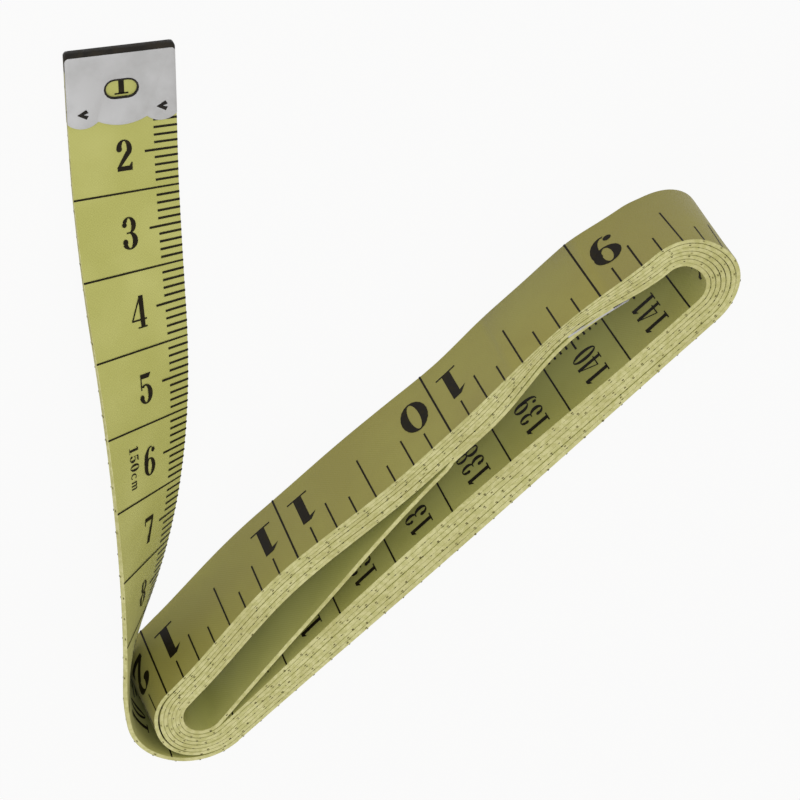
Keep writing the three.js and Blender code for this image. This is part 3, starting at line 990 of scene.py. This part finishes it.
# Where the cloth ends and where each bend starts and ends
TAPE_END = TAPE_LENGTH - TAPE_END_GAP
TIP_BEND_START, TIP_BEND_END = TIP_LENGTH - TIP_BEND[0], TIP_LENGTH + TIP_BEND[1]
LEADER_BEND_START, LEADER_BEND_END = SWING_AT - LEADER_BEND[0], SWING_AT + LEADER_BEND[1]
TAIL_BEND_START, TAIL_BEND_END = TAIL_AT - TAIL_BEND[0], TAIL_AT + TAIL_BEND[1]

# Stretches of the tape: name, first and last distance, and the body it rides on or the two bodies it lies
# between
STRETCHES = [
    ("tip", TAPE_END_GAP, TIP_BEND_START, ("tip",)),
    ("tip_bend", TIP_BEND_START, TIP_BEND_END, ("tip", "leader")),
    ("leader", TIP_BEND_END, LEADER_BEND_START, ("leader",)),
    ("leader_bend", LEADER_BEND_START, LEADER_BEND_END, ("leader", "coil")),
    ("coil", LEADER_BEND_END, TAIL_BEND_START, ("coil",)),
    ("tail_bend", TAIL_BEND_START, TAIL_BEND_END, ("coil", "tail")),
    ("tail", TAIL_BEND_END, TAPE_END, ("tail",)),
]
for name, start, end, bodies in STRETCHES:
    cloth = cloth_strip(name + "_cloth", start, end)
    ink = printed_marks(name + "_print", start, end)
    for piece in (cloth, ink):
        if piece is None:
            continue
        if len(bodies) == 1:
            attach(piece, bodies[0])
        else:
            point_at(start)
            point_at(end)
            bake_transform(piece)
    if len(bodies) == 1:
        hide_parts("tape_" + name)
    (end - start) * MM


def cut_sheet(loops, low, high):
    """Places and faces of flat metal between two heights: an outline, then loops for its holes."""
    curve = bpy.data.curves.new("sheet", "CURVE")
    curve.dimensions = "2D"
    curve.fill_mode = "BOTH"
    curve.bevel_depth = METAL_EDGE
    curve.bevel_resolution = 1
    curve.offset = -METAL_EDGE
    curve.extrude = (high - low) / 2 - METAL_EDGE
    for loop in loops:
        spline = curve.splines.new("POLY")
        spline.points.add(len(loop) - 1)
        spline.points.foreach_set("co", [c for x, y in loop for c in (x, y, 0.0, 1.0)])
        spline.use_cyclic_u = True
    mesh = plain_mesh(bpy.data.objects.new("sheet", curve))
    shape = bmesh.new()
    shape.from_mesh(mesh)
    bmesh.ops.remove_doubles(shape, verts=shape.verts, dist=METAL_MERGE)
    bmesh.ops.recalc_face_normals(shape, faces=shape.faces)
    shape.verts.index_update()
    places = [(v.co.x, v.co.y, v.co.z + (low + high) / 2) for v in shape.verts]
    faces = [tuple(v.index for v in f.verts) for f in shape.faces]
    shape.free()
    bpy.data.meshes.remove(mesh)
    return places, faces


def arc(x, y, radius, start, end, count=8):
    turns = np.radians(np.linspace(start, end, count + 1))
    return [(x + radius * math.cos(t), y + radius * math.sin(t)) for t in turns]


def scallop(mouth, top, low):
    """Points of one lobe of the clip's mouth, bulging away from the fold, from its upper cusp."""
    half = (top - low) / 2
    radius = (half**2 + SCALLOP_DEPTH**2) / (2 * SCALLOP_DEPTH)
    reach = math.degrees(math.asin(half / radius))
    middle = mouth - SCALLOP_DEPTH + radius
    return arc(middle, (top + low) / 2, radius, 180 - reach, 180 + reach, count=10)


# Material slots of a clip: bright plates, and near-black painted shade on the fold, the ring round the
# window and the prongs
BRIGHT, PAINTED_SHADE_SLOT = range(2)

# Outline of a prong's staked mark, its point towards one edge of the tape; it is drawn near-black as
# painted shade in the punched mark
CHEVRON = ((0, 0.5), (0.5, -0.35), (0.15, -0.55), (0, -0.1), (-0.15, -0.55), (-0.5, -0.35))


def window_loop(radius):
    """Outline of the clip's window, or of the ring of painted shadow around it, as a slot with round ends.
    """
    reach = (WINDOW_SIZE[0] - WINDOW_SIZE[1]) / 2
    upper = arc(-WINDOW_FROM_END, reach, radius, 0, 180)
    return upper + arc(-WINDOW_FROM_END, -reach, radius, 180, 360)


def metal_clip(name, node, body, s, outward):
    """Folded clip on one end of the tape: scalloped plates, a wall at the fold, a window and two prongs."""
    side = TAPE_WIDTH / 2
    mouth = SCALLOP_DEPTH - CLIP_LENGTH
    corner = side - CLIP_CORNER
    fold = arc(-CLIP_CORNER, -corner, CLIP_CORNER, -90, 0)
    fold += arc(-CLIP_CORNER, corner, CLIP_CORNER, 0, 90)
    cusps = (side, side - LOBE_WIDTH, LOBE_WIDTH - side, -side)
    scallops = [scallop(mouth, top, low) for top, low in zip(cusps, cusps[1:])]
    outline = fold + scallops[0] + scallops[1][1:] + scallops[2][1:]
    window = window_loop(WINDOW_SIZE[1] / 2)
    window_shadow = window_loop(WINDOW_SIZE[1] / 2 + WINDOW_SHADOW_WIDTH)
    prongs = []
    for end in (-1, 1):
        middle = end * (side - PRONG_FROM_EDGE)
        prongs.append([(x * PRONG_SIZE - PRONG_FROM_END, y * PRONG_SIZE + middle) for x, y in CHEVRON])
    plate = [(x - FOLD_SHOWN, y) for x, y in fold] + outline[len(fold) :]
    inner = [(x - 2 * FOLD_SHOWN, y * (1 - CLIP_WALL / side)) for x, y in reversed(fold)]
    wall = [(-CLIP_RETURN, -side)] + fold + [(-CLIP_RETURN, side)]
    wall += [(-CLIP_RETURN, side - CLIP_WALL)] + inner + [(-CLIP_RETURN, CLIP_WALL - side)]
    top = CLIP_HEIGHT / 2
    sheets = [
        (cut_sheet([plate, window], top - SHEET_METAL, top), BRIGHT),
        # Ring round the window: painted shadow at the window's edge
        (cut_sheet([window_shadow, window], top - SHEET_METAL, top + METAL_EDGE / 2), PAINTED_SHADE_SLOT),
        (cut_sheet([outline], -top, SHEET_METAL - top), BRIGHT),
        # Wall at the fold: painted shade and painted dark reflection
        (cut_sheet([wall], METAL_EDGE - top, top - METAL_EDGE), PAINTED_SHADE_SLOT),
        # Prong marks: painted shade in the punched marks
        *((cut_sheet([prong], top - SHEET_METAL / 2, top + METAL_EDGE), PAINTED_SHADE_SLOT) for prong in prongs),
    ]
    foot, along, across, face = (part[0] for part in course([s]))
    out = along * outward
    origin = foot + across * TAPE_WIDTH / 2 + out * TAPE_END_GAP
    basis = np.stack((out, np.cross(-face, out), -face))
    places, faces, slots = [], [], []
    for (points, polygons), material in sheets:
        faces += [tuple(v + len(places) for v in polygon) for polygon in polygons]
        slots += [material] * len(polygons)
        places += list((origin + np.array(points) @ basis) * MM)
    clip = new_piece(name, places, faces, (STEEL, SHADE_PAINTED_METAL), slots)
    clip.data.shade_smooth()
    clip.data.set_sharp_from_angle(angle=METAL_SHARP)
    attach(clip, body)
    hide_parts(node)


metal_clip("leader_end_clip", "leader_clip", "tip", TAPE_END_GAP, -1)
metal_clip("tail_end_clip", "tail_clip", "tail", TAPE_END, 1)


# Camera, in millimetres
CAMERA_AT = (62.503, 175.626, 275.281)
CAMERA_RIGHT = (0.73415, -0.61170, 0.29467)
CAMERA_DOWN = (-0.65803, -0.53406, 0.53081)
CAMERA_LENS = 120.0
CAMERA_NEAR = 10.0
SENSOR = 36.0

# Floor and light, in metres
WHITE = (1, 1, 1, 1)
FLOOR_REACH = 3.0
FLOOR_GREY = (0.45, 0.45, 0.45, 1)
FLOOR_WHITE_SHARE = 0.93
SKY = (1.0, 0.92, 0.79, 1)
SKY_STRENGTH = 0.64
LAMP_SIZE = 0.5
LAMP_COLOUR = (0.94, 1.0, 1.0)

# Lamps by name: place and power in watts
LAMPS = {"key": ((0.12, 0.42, 0.76), 2.8), "fill": ((-0.4, -0.3, 0.6), 0.8)}

camera = bpy.data.objects.new("camera", bpy.data.cameras.new("camera"))
camera.data.lens = CAMERA_LENS
camera.data.sensor_width = SENSOR
right = Vector(CAMERA_RIGHT).normalized()
back = right.cross(-Vector(CAMERA_DOWN)).normalized()
axes = Matrix((right, back.cross(right), back)).transposed()
camera.matrix_world = Matrix.Translation(Vector(CAMERA_AT) * MM) @ axes.to_4x4()
camera.data.clip_start = CAMERA_NEAR * MM
bpy.context.scene.collection.objects.link(camera)
bpy.context.scene.camera = camera


def white_to_camera(tree, lit, share):
    """Shader that shows white to the eye and to reflections by a share, and is lit otherwise."""
    path = tree.nodes.new("ShaderNodeLightPath")
    seen = path.outputs["Is Camera Ray"]
    for name in ("Is Glossy Ray", "Is Transmission Ray"):
        most = tree.nodes.new("ShaderNodeMath")
        most.operation = "MAXIMUM"
        tree.links.new(seen, most.inputs[0])
        tree.links.new(path.outputs[name], most.inputs[1])
        seen = most.outputs[0]
    part = tree.nodes.new("ShaderNodeMath")
    part.operation = "MULTIPLY"
    part.inputs[1].default_value = share
    tree.links.new(seen, part.inputs[0])
    white = tree.nodes.new("ShaderNodeEmission" if lit.type == "BSDF_DIFFUSE" else "ShaderNodeBackground")
    white.inputs[0].default_value = WHITE
    white.inputs["Strength"].default_value = 1.0
    mixed = tree.nodes.new("ShaderNodeMixShader")
    tree.links.new(part.outputs[0], mixed.inputs[0])
    tree.links.new(lit.outputs[0], mixed.inputs[1])
    tree.links.new(white.outputs[0], mixed.inputs[2])
    return mixed.outputs[0]


def pale_floor():
    """Matt floor, nearly white to the eye."""
    signs = ((-1, -1), (1, -1), (1, 1), (-1, 1))
    corners = [(x * FLOOR_REACH, y * FLOOR_REACH, 0) for x, y in signs]
    material = bpy.data.materials.new("pale_floor")
    material.use_nodes = True
    tree = material.node_tree
    tree.nodes.remove(tree.nodes["Principled BSDF"])
    matt = tree.nodes.new("ShaderNodeBsdfDiffuse")
    matt.inputs["Color"].default_value = FLOOR_GREY
    out = next(n for n in tree.nodes if n.type == "OUTPUT_MATERIAL")
    tree.links.new(white_to_camera(tree, matt, FLOOR_WHITE_SHARE), out.inputs["Surface"])
    floor = new_piece("floor", corners, [(0, 1, 2, 3)], (material,))


def studio():
    """Warm light from all sides, white behind the object, and two lamps."""
    world = bpy.data.worlds.new("studio")
    bpy.context.scene.world = world
    world.use_nodes = True
    tree = world.node_tree
    sky = tree.nodes["Background"]
    sky.inputs["Color"].default_value = SKY
    sky.inputs["Strength"].default_value = SKY_STRENGTH
    out = next(n for n in tree.nodes if n.type == "OUTPUT_WORLD")
    tree.links.new(white_to_camera(tree, sky, 1.0), out.inputs["Surface"])
    for name, (place, power) in LAMPS.items():
        lamp = bpy.data.lights.new(name, "AREA")
        lamp.size = LAMP_SIZE
        lamp.energy = power
        lamp.color = LAMP_COLOUR
        light = bpy.data.objects.new(name, lamp)
        light.location = place
        light.rotation_euler = (-Vector(place)).to_track_quat("-Z", "Y").to_euler()
        bpy.context.scene.collection.objects.link(light)


pale_floor()
studio()
bpy.context.scene.view_settings.view_transform = "Standard"
